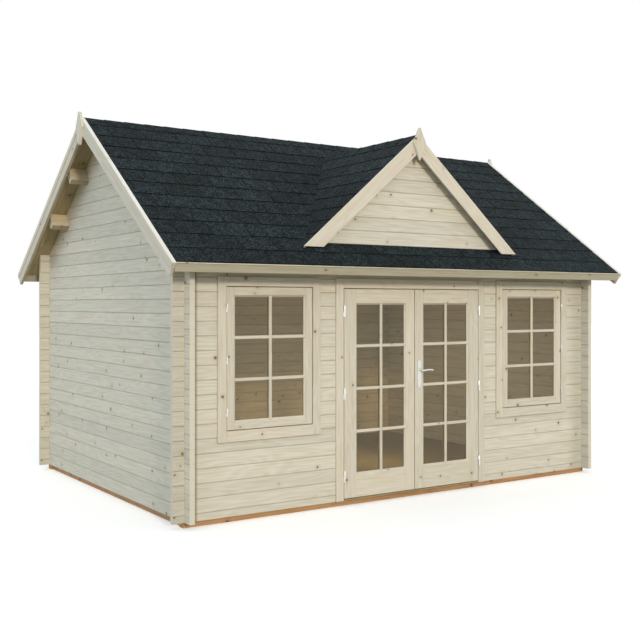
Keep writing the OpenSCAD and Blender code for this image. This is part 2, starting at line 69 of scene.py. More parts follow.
# Meshes: every board is a box of eight corners whose edges are cut back by a small arris
CORNERS = np.array([[i, j, k] for k in (0, 1) for j in (0, 1) for i in (0, 1)])
OWN_AXIS = np.tile(np.eye(3), (8, 1))
# Each board's grain starts at a place of its own, up to 40 m away along and across and 2 m through
GRAIN_SPREAD, GRAIN_SHARE = 40, np.array([1.0, 1.0, 0.05])


def grain_start(*shape):
    """Drawn places at which the grain of boards starts."""
    return rng.uniform(0, GRAIN_SPREAD, shape) * GRAIN_SHARE


def arris_faces():
    """Faces of a box with cut edges. Each corner has three points, one on each face that meets
    there: six faces, twelve edge strips and eight corner triangles, all facing outwards."""
    near = CORNERS * 2.0 - 1.0
    points = np.repeat(near, 3, axis=0) * (0.8 + 0.2 * OWN_AXIS)
    groups = []
    for axis in range(3):
        b, c = [a for a in range(3) if a != axis]
        for side in (0, 1):
            ring = [n for n in range(8) if CORNERS[n, axis] == side]
            groups.append([3 * ring[n] + axis for n in (0, 1, 3, 2)])
        for n in range(8):
            if CORNERS[n, axis] == 0:
                m = n + 2 ** axis
                groups.append([3 * n + b, 3 * m + b, 3 * m + c, 3 * n + c])
    groups += [[3 * n, 3 * n + 1, 3 * n + 2] for n in range(8)]
    out = []
    for group in groups:
        p = points[group]
        outwards = np.cross(p[1] - p[0], p[2] - p[0]) @ p.mean(0)
        out.append(group if outwards > 0 else group[::-1])
    return out


ARRIS_FACES = arris_faces()


def boards(corners, arris):
    """Boards from their corners (m, 8, 3), counted along the grain, then across, then through. Each
    point is a weighted mean of the eight corners, drawn in from the edges by the arris. The plank
    attribute holds the distance along, across and through each board from a start of its own."""
    corners = np.array(corners, float)
    count = len(corners)
    edges = np.stack([corners[:, n] - corners[:, 0] for n in (1, 2, 4)], axis=1)
    mirrored = np.linalg.det(edges) < 0
    corners[mirrored] = corners[mirrored][:, [4, 5, 6, 7, 0, 1, 2, 3]]
    size = np.linalg.norm(edges, axis=2)
    inset = np.minimum(arris / np.maximum(size, 1e-6), 0.45)
    part = np.repeat(CORNERS, 3, axis=0)[None].astype(float)
    part = part + (1 - 2 * part) * inset[:, None, :] * (1 - OWN_AXIS)
    share = np.where(CORNERS == 1, part[:, :, None, :], 1 - part[:, :, None, :]).prod(axis=3)
    points = np.einsum("mvc,mcx->mvx", share, corners)
    plank = part * size[:, None, :] + grain_start(count, 1, 3)
    each = len(OWN_AXIS)
    tone = np.repeat(rng.uniform(0, 1, count), each)
    step = each * np.arange(count)[:, None]
    faces = [row for face in ARRIS_FACES for row in (np.array(face) + step).tolist()]
    return points.reshape(-1, 3), faces, plank.reshape(-1, 3), tone


def upright(rows):
    """Corners of boards that lie square to the house: rows of lowest corner, highest corner, grain axis.
    The wider of the other two axes counts as across the board, the narrower as through it."""
    out = np.empty((len(rows), 8, 3))
    for n, (low, high, grain) in enumerate(rows):
        ends = np.array([low, high])
        order = [grain] + sorted((a for a in range(3) if a != grain), key=lambda a: low[a] - high[a])
        for place, axis in enumerate(order):
            out[n, :, axis] = ends[CORNERS[:, place], axis]
    return out


def on_plane(plane, under, over, low, high):
    """Corners of pieces that lie on a plane (origin and three axes): outlines (m, 4, 2) of their
    underside and top, at heights (m, 4) along the plane's normal."""
    origin, first, second, normal = plane
    sides = [
        origin + flat[..., :1] * first + flat[..., 1:] * second + height[..., None] * normal
        for flat, height in ((under, low), (over, high))
    ]
    return np.concatenate(sides, axis=1)


def turned(path, radii, axis=None, sides=20):
    """Round bar: at each point of a path a ring of the given radius, square to the path's direction,
    with a flat cap at both ends."""
    path = np.array(path, float)
    radii = np.array(radii, float)
    along = np.tile(axis, (len(path), 1)) if axis is not None else np.gradient(path, axis=0)
    along = along / np.linalg.norm(along, axis=1, keepdims=True)
    helper = UP if abs(along[0] @ UP) < 0.9 else np.array([1.0, 0.0, 0.0])
    first = np.cross(along, helper)
    first /= np.linalg.norm(first, axis=1, keepdims=True)
    second = np.cross(along, first)
    angle = np.linspace(0, 2 * math.pi, sides, endpoint=False)[None, :, None]
    rim = np.cos(angle) * first[:, None] + np.sin(angle) * second[:, None]
    points = (path[:, None] + radii[:, None, None] * rim).reshape(-1, 3)
    ring, n = np.meshgrid(np.arange(len(path) - 1), np.arange(sides), indexing="ij")
    here, after = ring * sides + n, ring * sides + (n + 1) % sides
    faces = np.stack([here, after, after + sides, here + sides], axis=-1).reshape(-1, 4).tolist()
    faces += [list(range(sides))[::-1], list(range(len(points) - sides, len(points)))]
    return points, faces, points, np.full(len(points), 0.5)


def plate(outline, plane, low, high, arris):
    """Flat plate: a convex outline carried from one height to another along the plane's normal. Near
    both faces the outline is drawn in by the arris along the mean of its two edge normals."""
    outline = np.array(outline, float)
    axes = np.array(plane[1:])
    if np.linalg.det(axes) < 0:
        outline = outline[::-1]
    edge = np.roll(outline, -1, axis=0) - outline
    edge /= np.linalg.norm(edge, axis=1, keepdims=True)
    inward = np.stack([-edge[:, 1], edge[:, 0]], axis=1)
    before = np.roll(inward, 1, axis=0)
    shrunk = outline + arris * (before + inward) / (1 + (before * inward).sum(1, keepdims=True))
    levels = ((shrunk, low), (outline, low + arris), (outline, high - arris), (shrunk, high))
    flat = np.concatenate([np.c_[line, np.full(len(line), height)] for line, height in levels])
    points = plane[0] + flat @ axes
    n = len(outline)
    ring, side = np.meshgrid(np.arange(3), np.arange(n), indexing="ij")
    here, after = ring * n + side, ring * n + (side + 1) % n
    faces = np.stack([here, after, after + n, here + n], axis=-1).reshape(-1, 4).tolist()
    faces += [list(range(n))[::-1], list(range(3 * n, 4 * n))]
    plank = flat[:, [1, 0, 2]] + grain_start(1, 3)
    return points, faces, plank, np.full(len(points), rng.uniform(0, 1))


def stand(name, data):
    """A new object in the scene."""
    made = bpy.data.objects.new(name, data)
    bpy.context.scene.collection.objects.link(made)
    return made


def piece(name, parts, material, body, replaced=()):
    """One object from arrays of points and faces. It rides on a body, takes a finish and stands for
    the solids that it replaces."""
    points, faces, plank, tone, first = [], [], [], [], 0
    for one in parts:
        points.append(one[0])
        faces += [[first + n for n in face] for face in one[1]]
        plank.append(one[2])
        tone.append(one[3])
        first += len(one[0])
    mesh = bpy.data.meshes.new(name)
    mesh.from_pydata(np.concatenate(points).tolist(), [], faces)
    grain = mesh.attributes.new("plank", "FLOAT_VECTOR", "POINT")
    grain.data.foreach_set("vector", np.concatenate(plank).astype(np.float32).ravel())
    shade = mesh.attributes.new("tone", "FLOAT", "POINT")
    shade.data.foreach_set("value", np.concatenate(tone).astype(np.float32))
    mesh.shade_smooth()
    mesh.set_sharp_from_angle(angle=math.radians(25))
    mesh.materials.append(material)
    made = stand(name, mesh)
    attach(made, body)
    if replaced:
        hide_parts(*replaced)


# Materials
def linear(code):
    """Linear colour with full alpha from an sRGB hex code."""
    value = np.array([int(code[n:n + 2], 16) for n in (1, 3, 5)]) / 255
    low = value <= 0.04045
    return (*np.where(low, value / 12.92, ((value + 0.055) / 1.055) ** 2.4), 1.0)


def add(tree, kind, given=(), **settings):
    """Adds a node. Settings are its properties, and given pairs an input with a value or a socket."""
    made = tree.nodes.new("ShaderNode" + kind)
    for key, value in settings.items():
        setattr(made, key, value)
    for key, value in dict(given).items():
        if isinstance(value, bpy.types.NodeSocket):
            tree.links.new(value, made.inputs[key])
        else:
            made.inputs[key].default_value = value
    return made


def calc(tree, operation, *values, **settings):
    """Result of a math node on up to three values or sockets."""
    return add(tree, "Math", dict(enumerate(values)), operation=operation, **settings).outputs[0]


def either(tree, choice, no, yes):
    """One number where the choice is 0, another where it is 1."""
    return add(tree, "Mix", {0: choice, 2: no, 3: yes}).outputs[0]


def blend(tree, share, first, second):
    """Colour between two colours, each a hex code or a socket."""
    first, second = [linear(c) if isinstance(c, str) else c for c in (first, second)]
    return add(tree, "Mix", {0: share, 6: first, 7: second}, data_type="RGBA").outputs[2]


def ramp(tree, value, low, high, start=0.0, stop=1.0, smooth=False):
    """Runs from low to high while the value runs from start to stop, and holds beyond them."""
    given = {"Value": value, "From Min": start, "From Max": stop, "To Min": low, "To Max": high}
    kind = "SMOOTHSTEP" if smooth else "LINEAR"
    return add(tree, "MapRange", given, interpolation_type=kind).outputs[0]


def stretched(tree, place, scales):
    """A place with each of its axes multiplied by a scale of its own."""
    return add(tree, "VectorMath", {0: place, 1: scales}, operation="MULTIPLY").outputs[0]


def noise(tree, place, scale, detail):
    """Value of a noise with so many waves to the metre."""
    return add(tree, "TexNoise", {"Vector": place, "Scale": scale, "Detail": detail}).outputs["Fac"]


def facing(tree):
    """The three parts of the surface's normal."""
    return add(tree, "SeparateXYZ", {0: add(tree, "NewGeometry").outputs["Normal"]}).outputs


def blank(name):
    """An empty material's tree with its output."""
    material = bpy.data.materials.new(name)
    material.use_nodes = True
    tree = material.node_tree
    tree.nodes.clear()
    return material, tree, tree.nodes.new("ShaderNodeOutputMaterial")


# Waves of the wood's patterns to the metre along, across and through the grain: streaks every 14 mm,
# growth over 110 mm, and room for one knot in every 256 mm
STREAKS, GROWTH, KNOT_CELLS = (2.4, 70.0, 40.0), (1.1, 9.0, 9.0), (3.9, 3.9, 0.0)
# Growth rings and their share in the grain, the part of the places that have no knot, and how far
# apart the grain of two logs can start
RINGS, RING_SHARE, KNOTLESS, LOG_SHIFT = 58.0, 0.1, 0.52, 37.0
# Painted shade in the nooks where the front logs cross the side logs, in metres from the middle: where it
# starts on the right and on the left, where it is full, and where the ends past the crossing start
NOOK_RIGHT, NOOK_LEFT, NOOK_FULL, LOG_CROSSING = 1.960, 2.130, 2.157, 2.250
# How dark the painted nook shade gets on the right and on the left, and on the log ends past the crossing
NOOK_RIGHT_SHARE, NOOK_LEFT_SHARE, CROSSING_SHARE = 0.25, 0.70, 0.22
# Reach of the shade at a log joint, in metres
JOINT_SHADE, JOINT_DEEP = 0.007, 0.001


def softwood(name, pale, deep, knot, grain="plank", first=0.0, course=LOG,
             groove=None, end=None, painted_nook_shade=None, under=None):
    """Planed softwood. Streaks 14 mm apart run along the grain over broader growth rings, knots of 12
    to 20 mm lie about a quarter of a metre apart, and each board or log has a tone of its own. The
    grain follows the plank attribute, or X or Y with one log to each course. The last four are the colours
    of the painted shade at the log joints, of the sawn ends, of the painted shade in the corner nooks and
    of the painted shade on the undersides, where they differ."""
    material, tree, out = blank(name)
    if grain == "plank":
        place = add(tree, "Attribute", attribute_name="plank").outputs["Vector"]
        tone = add(tree, "Attribute", attribute_name="tone").outputs["Fac"]
    else:
        at = add(tree, "SeparateXYZ", {0: add(tree, "TexCoord").outputs["Object"]}).outputs
        along, through = (at[0], at[1]) if grain == "x" else (at[1], at[0])
        level = calc(tree, "SUBTRACT", at[2], first)
        count = calc(tree, "FLOOR", calc(tree, "DIVIDE", level, course))
        tone = add(tree, "TexWhiteNoise", {"W": count}, noise_dimensions="1D").outputs["Value"]
        shift = calc(tree, "MULTIPLY_ADD", tone, LOG_SHIFT, along)
        place = add(tree, "CombineXYZ", {0: shift, 1: at[2], 2: through}).outputs[0]
    streak = noise(tree, stretched(tree, place, STREAKS), 1.0, 3.0)
    swirl = noise(tree, stretched(tree, place, GROWTH), 1.0, 1.5)
    rings = calc(tree, "SINE", calc(tree, "MULTIPLY", swirl, RINGS))
    grainy = calc(tree, "MULTIPLY_ADD", rings, RING_SHARE, streak)
    cells = stretched(tree, place, KNOT_CELLS)
    spots = add(tree, "TexVoronoi", {"Vector": cells, "Scale": 1.0}, voronoi_dimensions="2D")
    kind = add(tree, "SeparateColor", {0: spots.outputs["Color"]}).outputs
    chosen = calc(tree, "GREATER_THAN", kind[0], KNOTLESS)
    reach = calc(tree, "MULTIPLY_ADD", kind[1], 0.035, spots.outputs["Distance"])
    core = calc(tree, "MULTIPLY", ramp(tree, reach, 0.0, 0.85, 0.07, 0.038, True), chosen)
    halo = calc(tree, "MULTIPLY", ramp(tree, reach, 0.0, 0.45, 0.2, 0.07, True), chosen)
    amount = calc(tree, "ADD", ramp(tree, grainy, 0.0, 1.0, 0.32, 0.78), halo, use_clamp=True)
    colour = blend(tree, core, blend(tree, amount, pale, deep), knot)
    hue, warmth = ramp(tree, tone, 0.505, 0.495), ramp(tree, tone, 0.93, 1.04)
    value = ramp(tree, tone, 0.94, 1.04)
    colour = add(tree, "HueSaturation", {0: hue, 1: warmth, 2: value, 4: colour}).outputs[0]
    if groove:
        to_joint = calc(tree, "PINGPONG", level, course / 2)
        colour = blend(tree, ramp(tree, to_joint, 0.0, 0.5, JOINT_SHADE, JOINT_DEEP, True), colour, groove)
    # Painted shade: darker towards the corner nooks, and a little darker on the log ends past the crossing
    if painted_nook_shade:
        left = calc(tree, "LESS_THAN", along, 0.0)
        from_middle = calc(tree, "ABSOLUTE", along)
        start = either(tree, left, NOOK_RIGHT, NOOK_LEFT)
        depth = either(tree, left, NOOK_RIGHT_SHARE, NOOK_LEFT_SHARE)
        near = ramp(tree, from_middle, 0.0, depth, start, NOOK_FULL, True)
        past = calc(tree, "GREATER_THAN", from_middle, LOG_CROSSING)
        colour = blend(tree, either(tree, past, near, CROSSING_SHARE), colour, painted_nook_shade)
    if end:
        lengthwise = calc(tree, "ABSOLUTE", facing(tree)[0 if grain == "x" else 1])
        colour = blend(tree, ramp(tree, lengthwise, 0.0, 0.85, 0.6, 0.8), colour, end)
    # Painted shade: darker on faces that look down
    if under:
        colour = blend(tree, ramp(tree, facing(tree)[2], 0.0, 0.5, -0.5, -0.75), colour, under)
    height = calc(tree, "MULTIPLY_ADD", core, -0.6, grainy)
    bump = add(tree, "Bump", {"Height": height, "Strength": 0.35, "Distance": 0.0015}).outputs[0]
    rough = ramp(tree, streak, 0.56, 0.76)
    shade = add(tree, "BsdfPrincipled", {"Base Color": colour, "Roughness": rough, "Normal": bump})
    tree.links.new(shade.outputs[0], out.inputs[0])
    return material


# Planed spruce with a thin pale cream wash: the grain shows through, with painted shade at the joints and
# in the nooks
KNOT, JOINT, LOG_END, NOOK_PAINTED_SHADE = "#6A543D", "#A39A84", "#DCD8C8", "#6B664E"
WASHED = ("#E0DFD3", "#D1CCBA", KNOT)
# Faces that look down take a brown painted shade
PAINTED_UNDERSIDE_SHADE = "#66543C"
# A course higher than any piece, which gives the whole piece one tone
ONE_TONE = 9.0
dormer_foot = span("dormer_gable")[0][2]
front_logs = softwood("washed_spruce_front_logs", *WASHED, "x", FRONT_FIRST, LOG, JOINT, LOG_END, NOOK_PAINTED_SHADE)
side_logs = softwood("washed_spruce_side_logs", *WASHED, "y", SIDE_FIRST, LOG, JOINT, LOG_END)
dormer_logs = softwood("washed_spruce_dormer_boards", *WASHED, "x", dormer_foot, DORMER_BOARD, JOINT)
# Trim boards, with a brown painted shade on their undersides
trim = softwood("washed_spruce_trim", "#DEDBCE", "#D1CAB6", KNOT, under=PAINTED_UNDERSIDE_SHADE)
# The same boards on their upper edges, painted nearly white: a painted highlight of the light from above
painted_highlight_edges = softwood("spruce_edges_painted_highlight", "#EFEEE9", "#E6E4DA", "#D9D5C6")
# Planed spruce of the eave boards with a thinner wash: a little darker and yellower
eave_wood = softwood("washed_spruce_eave_boards", "#ACA893", "#A09A82", KNOT)
# Planed spruce of the purlins with a thin wash, sawn at the ends, with a brown painted shade on their
# undersides
purlin_wood = softwood("washed_spruce_purlins", "#D0C5AB", "#BFB08E", KNOT, "x", 0.0, ONE_TONE,
                       end=LOG_END, under=PAINTED_UNDERSIDE_SHADE)
# Bare planed spruce of the roof and floor boards: yellower, without the wash
BARE_KNOT = "#5E4127"
bare = softwood("bare_spruce_boards", "#A89A74", "#91825D", BARE_KNOT)
dormer_bare = softwood("bare_spruce_dormer_boards", "#B8A581", "#9F8A66", BARE_KNOT, "y", 0.0, ONE_TONE)
# Pressure treated pine of the ground bearers: orange brown
TREATED = ("#C39A6C", "#A67D52", "#5A3A1E")
bearer_x = softwood("treated_pine_long_bearers", *TREATED, "x", 0.0, ONE_TONE)
bearer_y = softwood("treated_pine_cross_bearers", *TREATED, "y", 0.0, ONE_TONE)


def bitumen_shingle():
    """Bitumen felt pressed with slate granules: matt, speckled, a tone to each tab. Real granules of 1
    to 2 mm are too fine to show, so the speckle is drawn at 13 mm with patches of 60 mm. The cut edges,
    which face along the slope, show the black bitumen."""
    material, tree, out = blank("slate_granule_bitumen_shingle")
    place = add(tree, "TexCoord").outputs["Object"]
    speck = noise(tree, place, 78.0, 2.0)
    patch = noise(tree, place, 16.0, 2.0)
    mixed = calc(tree, "MULTIPLY_ADD", patch, 0.3, speck)
    colour = blend(tree, ramp(tree, mixed, 0.0, 1.0, 0.56, 0.80), "#05090B", "#313E42")
    tone = add(tree, "Attribute", attribute_name="tone").outputs["Fac"]
    value = ramp(tree, tone, 0.76, 1.22)
    colour = add(tree, "HueSaturation", {"Color": colour, "Value": value}).outputs[0]
    cut_edge = ramp(tree, facing(tree)[2], 0.0, 1.0, 0.55, 0.25)
    colour = blend(tree, cut_edge, colour, "#040607")
    bump = add(tree, "Bump", {"Height": speck, "Strength": 0.6, "Distance": 0.002}).outputs[0]
    shade = add(tree, "BsdfPrincipled", {"Base Color": colour, "Normal": bump})
    shade.inputs["Roughness"].default_value = 0.92
    shade.inputs["Specular IOR Level"].default_value = 0.15
    tree.links.new(shade.outputs[0], out.inputs[0])
    return material


def float_glass():
    """Clear float glass: it lets light through with a faint warm grey tint and mirrors more at a slant,
    from 4 percent head on to all of it. A slight waviness of 150 mm moves its reflections."""
    material, tree, out = blank("clear_float_glass")
    wave = noise(tree, add(tree, "TexCoord").outputs["Object"], 6.5, 1.0)
    bump = add(tree, "Bump", {"Height": wave, "Strength": 0.05, "Distance": 0.002}).outputs[0]
    slant = add(tree, "LayerWeight", {"Blend": 0.5, "Normal": bump}).outputs["Facing"]
    share = calc(tree, "MULTIPLY_ADD", calc(tree, "POWER", slant, 5.0), 0.96, 0.04)
    clear = add(tree, "BsdfTransparent", {"Color": linear("#E9E2D2")}).outputs[0]
    mirror = {"Color": linear("#F4F4F0"), "Roughness": 0.02, "Normal": bump}
    shine = add(tree, "BsdfGlossy", mirror).outputs[0]
    both = add(tree, "MixShader", {0: share, 1: clear, 2: shine}).outputs[0]
    tree.links.new(both, out.inputs[0])
    return material


def zinc_steel():
    """Zinc plated steel with a satin finish: pale metal with faint brushed marks 3 mm apart."""
    material, tree, out = blank("satin_zinc_steel")
    place = stretched(tree, add(tree, "TexCoord").outputs["Object"], (330.0, 330.0, 24.0))
    brush = noise(tree, place, 1.0, 2.0)
    colour = blend(tree, brush, "#C9CBC9", "#E9EAE8")
    rough = ramp(tree, brush, 0.34, 0.5)
    shade = add(tree, "BsdfPrincipled", {"Base Color": colour, "Roughness": rough})
    shade.inputs["Metallic"].default_value = 1.0
    tree.links.new(shade.outputs[0], out.inputs[0])
    return material


shingle = bitumen_shingle()
glass = float_glass()
steel = zinc_steel()


def dress(material, *nodes):
    """Gives solids that stay as they are a material."""
    for node in nodes:
        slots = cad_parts[node].data.materials
        slots.clear()
        slots.append(material)


dress(front_logs, "front_wall_left", "front_wall_right", "front_wall_top", "back_wall")
dress(side_logs, "left_wall", "right_wall")
dress(dormer_logs, "dormer_gable")
dress(purlin_wood, "front_purlins", "rear_purlins")
dress(bearer_x, "long_bearers")
dress(bearer_y, "side_bearers", "floor_joists")
dress(dormer_bare, "dormer_deck_left", "dormer_deck_right")
dress(glass, "left_door_glass", "right_door_glass", "left_window_glass", "right_window_glass")


# Main roof
RIDGE = span("front_shingles")[1][2]
ROOF_HALF = span("front_shingles")[1][0]
EAVE = -span("front_shingles")[0][1]
ROOF_BOARDS, BOARD_JOINT = 51, 0.0006
# Shingles: courses of a slope, where the first one starts, tabs with the gap between them and their lap
COURSES, FIRST_EDGE = 11, 0.09
TAB, TAB_GAP, TAB_LAP = 0.333, 0.005, 0.025
# Shortest row, and shortest tab at the end of a row
TAB_LEAST, TAB_LAST = 0.02, 0.1
# Height of a tab at its upper and lower edge, and how far its edge, joints and lift stray
TAB_UPPER, TAB_LOWER = 0.0025, 0.007
EDGE_STRAY, JOINT_STRAY, LIFT_STRAY = 0.003, 0.012, 0.002
# Felt under the tabs, and how far it stays back from the eave
FELT, FELT_BACK = 0.0015, 0.004
# Ridge caps: width of one half, length, lap, and height at the near and the far end
CAP, CAP_LENGTH, CAP_LAP, CAP_NEAR, CAP_FAR = 0.117, 0.2, 0.012, 0.009, 0.006


def slope_plane(side, pitch, top, across):
    """Plane of a roof slope's boards: its origin on the ridge line, the ridge's direction, the way down
    and the normal. The ridge runs along X or along Y."""
    out = np.array([0.0, side, 0.0]) if across == 0 else np.array([side, 0.0, 0.0])
    ridge = np.eye(3)[across]
    down = out * math.cos(pitch) - UP * math.sin(pitch)
    normal = out * math.sin(pitch) + UP * math.cos(pitch)
    return np.array([0.0, 0.0, top - SKIN / math.cos(pitch)]), ridge, down, normal


def tabs(plane, edges, start, stop):
    """Shingle tabs in rows between distances down the slope. A row runs from start to where stop says,
    at its upper and its lower edge. Joints are staggered by half a tab, and each tab's lower edge stands
    7 mm off the boards, with a small lift of its own."""
    outlines = []
    for row, (top, low) in enumerate(zip(edges[:-1], edges[1:])):
        ends = [max(stop(top), start + TAB_LEAST), max(stop(low), start + TAB_LEAST)]
        joints = np.arange(start + TAB * (1.0 if row % 2 else 0.5), min(ends) - TAB_LAST, TAB)
        joints = joints + rng.uniform(-JOINT_STRAY, JOINT_STRAY, len(joints))
        left = np.r_[start, joints + TAB_GAP / 2]
        right = [np.r_[joints - TAB_GAP / 2, end] for end in ends]
        upper = np.full(len(left), top - TAB_LAP)
        lower = low + rng.uniform(-EDGE_STRAY, EDGE_STRAY, len(left))
        outlines.append(np.stack([
            np.stack([left, upper], 1), np.stack([right[0], upper], 1),
            np.stack([left, lower], 1), np.stack([right[1], lower], 1)], axis=1))
    flat = np.concatenate(outlines)
    lift = rng.uniform(0, LIFT_STRAY, (len(flat), 1))
    high = np.array([TAB_UPPER, TAB_UPPER, TAB_LOWER, TAB_LOWER]) + lift * np.array([0, 0, 1, 1])
    return boards(on_plane(plane, flat, flat, np.zeros_like(high), high), arris=0.0015)


def underlay(plane, outline):
    """Sheet of the same felt, 1.5 mm thick, under the tabs, so that their joints show no bare board."""
    flat = np.array([outline])
    level = np.zeros((1, 4))
    return boards(on_plane(plane, flat, flat, level, level + FELT), arris=0.0004)


def caps(plane, pitch, start, stop):
    """Half of the folded ridge caps: pieces 0.2 m long that lap each other along the ridge, their tops
    drawn up to meet the other half."""
    count = max(round((stop - start) / CAP_LENGTH), 1)
    at = np.linspace(start, stop, count + 1)
    near = np.maximum(at[:-1] - CAP_LAP, start)
    far = at[1:]
    high = np.tile([CAP_NEAR, CAP_FAR, CAP_NEAR, CAP_FAR], (count, 1))
    side = np.full(count, CAP)
    rise = -high * math.tan(pitch)
    under = np.stack([np.c_[near, 0 * side], np.c_[far, 0 * side], np.c_[near, side], np.c_[far, side]], 1)
    over = under.copy()
    over[:, 0, 1] = rise[:, 0]
    over[:, 1, 1] = rise[:, 1]
    return boards(on_plane(plane, under, over, np.zeros_like(high), high), arris=0.001)


def roof_boards(plane, eave):
    """Roof boards side by side along the ridge, from the ridge down to a plumb cut at the eave."""
    count = ROOF_BOARDS
    at = np.linspace(-ROOF_HALF, ROOF_HALF, count + 1)
    left, right = at[:-1] + BOARD_JOINT, at[1:] - BOARD_JOINT
    lines = []
    for height in (-DECK, 0.0):
        top = np.full(count, -height * math.tan(MAIN_PITCH))
        end = np.full(count, (eave - height * math.sin(MAIN_PITCH)) / math.cos(MAIN_PITCH))
        ends = [np.c_[left, top], np.c_[left, end], np.c_[right, top], np.c_[right, end]]
        lines.append(np.stack(ends, 1))
    level = np.zeros((count, 4))
    return boards(on_plane(plane, lines[0], lines[1], level - DECK, level), arris=0.0025)


slope_length = EAVE / math.cos(MAIN_PITCH)
course_edges = np.r_[FIRST_EDGE, CAP + (slope_length - CAP) / COURSES * np.arange(1, COURSES + 1)]
ridge_halves = []
for side, slope in SLOPES:
    plane = slope_plane(side, MAIN_PITCH, RIDGE, 0)
    rows = tabs(plane, course_edges, -ROOF_HALF, lambda low: ROOF_HALF)
    eave = slope_length - FELT_BACK
    felt = underlay(plane, [(-ROOF_HALF, 0.0), (ROOF_HALF, 0.0), (-ROOF_HALF, eave), (ROOF_HALF, eave)])
    piece(slope + "_shingle_courses", [felt, rows], shingle, "house", [slope + "_shingles"])
    low, high = span(slope + "_roof_deck")
    laid = roof_boards(plane, max(-low[1], high[1]))
    piece(slope + "_roof_boards", [laid], bare, "house", [slope + "_roof_deck"])
    ridge_halves.append(caps(plane, MAIN_PITCH, -ROOF_HALF, ROOF_HALF))
piece("ridge_caps", ridge_halves, shingle, "house")

# Dormer roof: its rows run back from the front edge to the valley with the main slope
DORMER_RIDGE = span("dormer_shingles_left")[1][2]
DORMER_FRONT = span("dormer_shingles_left")[0][1]
DORMER_HALF = span("dormer_shingles_right")[1][0]
DORMER_COURSES, DORMER_FIRST = 8, 0.3
VALLEY_LAP = 0.015


def valley(down):
    """Y of the valley at a distance down the dormer's slope, a little into the main slope."""
    drop = RIDGE - DORMER_RIDGE + down * math.sin(DORMER_PITCH)
    return -drop / math.tan(MAIN_PITCH) + VALLEY_LAP


dormer_length = DORMER_HALF / math.cos(DORMER_PITCH)
dormer_edges = np.r_[FIRST_EDGE, np.linspace(DORMER_FIRST, dormer_length, DORMER_COURSES)]
dormer_caps = []
for side, name in SIDES:
    plane = slope_plane(side, DORMER_PITCH, DORMER_RIDGE, 1)
    rows = tabs(plane, dormer_edges, DORMER_FRONT, valley)
    eave = dormer_edges[-1] - FELT_BACK
    felt = underlay(plane, [(DORMER_FRONT, 0.0), (valley(0.0), 0.0),
                            (DORMER_FRONT, eave), (valley(eave), eave)])
    piece("dormer_%s_courses" % name, [felt, rows], shingle, "house",
          ["dormer_shingles_" + name])
    dormer_caps.append(caps(plane, DORMER_PITCH, DORMER_FRONT, valley(0.0)))
piece("dormer_ridge_caps", dormer_caps, shingle, "house")

# Trim of the roof: the drip lath of the eave boards stands out from them, between two depths below
# their upper edge
DRIP_OUT, DRIP_LOW, DRIP_HIGH = 0.007, 0.009, 0.001


def fascia(slope, side):
    """Eave board with a sloped top edge and a drip lath along it."""
    low, high = span(slope + "_fascia")
    outer = max(-low[1], high[1])
    inner = min(abs(low[1]), abs(high[1]))
    edge = high[2] - (outer - inner) * math.tan(MAIN_PITCH)
    upper = np.where(CORNERS[:, 2] == 1, edge, high[2])
    corners = np.empty((1, 8, 3))
    corners[0, :, 0] = np.where(CORNERS[:, 0] == 1, high[0], low[0])
    corners[0, :, 1] = side * np.where(CORNERS[:, 2] == 1, outer, inner)
    corners[0, :, 2] = np.where(CORNERS[:, 1] == 0, low[2], upper)
    ends = sorted((side * outer, side * (outer + DRIP_OUT)))
    lath = upright([((low[0], ends[0], edge - DRIP_LOW), (high[0], ends[1], edge - DRIP_HIGH), 0)])
    return boards(corners, arris=0.003), boards(lath, arris=0.002)


for side, slope in SLOPES:
    board, lath = fascia(slope, side)
    piece(slope + "_fascia_board", [board], eave_wood, "house", [slope + "_fascia"])
    piece(slope + "_drip_lath", [lath], trim, "house")


def sloped_board(line, near, far, flat, arris=0.003):
    """A board from four points of its face, (start low, end low, start high, end high), between two
    depths along the third axis."""
    corners = np.empty((1, 8, 3))
    across, depth = flat
    corners[0, :, across] = np.tile(np.array(line)[:, 0], 2)
    corners[0, :, 2] = np.tile(np.array(line)[:, 1], 2)
    corners[0, :, depth] = np.where(CORNERS[:, 2] == 1, far, near)
    return boards(corners, arris)


# Barge boards, the lath on the upper part of their face, and the thin lath on their upper edge
BARGE_WIDTH = 0.120
LATH_WIDTH, LATH_DEPTH = 0.042, 0.005
TOP_LATH = 0.005
for x_side, left in SIDES:
    for y_side, slope in SLOPES:
        node = "%s_%s_barge" % (left, slope)
        low, high = span(node)
        end = max(-low[1], high[1])
        face = x_side * max(abs(low[0]), abs(high[0]))
        back = x_side * min(abs(low[0]), abs(high[0]))
        end_z = high[2] - end * math.tan(MAIN_PITCH)
        foot_y = end - BARGE_WIDTH * math.sin(MAIN_PITCH)
        line = [
            (0.0, high[2] - BARGE_WIDTH / math.cos(MAIN_PITCH)),
            (y_side * foot_y, end_z - BARGE_WIDTH * math.cos(MAIN_PITCH)),
            (0.0, high[2]),
            (y_side * end, end_z),
        ]
        board = sloped_board(line, back, face, (1, 0))
        share = 1 - LATH_WIDTH / BARGE_WIDTH
        inner = [tuple(np.array(line[n]) * (1 - share) + np.array(line[n + 2]) * share) for n in (0, 1)]
        outer = face + x_side * LATH_DEPTH
        lath = sloped_board(inner + line[2:], face, outer, (1, 0))
        piece(node + "_board", [board, lath], trim, "house", [node])
        rise = TOP_LATH / math.cos(MAIN_PITCH)
        crown = line[2:] + [(line[2][0], line[2][1] + rise), (line[3][0], line[3][1] + rise)]
        crown = sloped_board(crown, back, outer, (1, 0), arris=0.001)
        # The top lath carries the painted highlight
        piece(node + "_top_lath", [crown], painted_highlight_edges, "house")

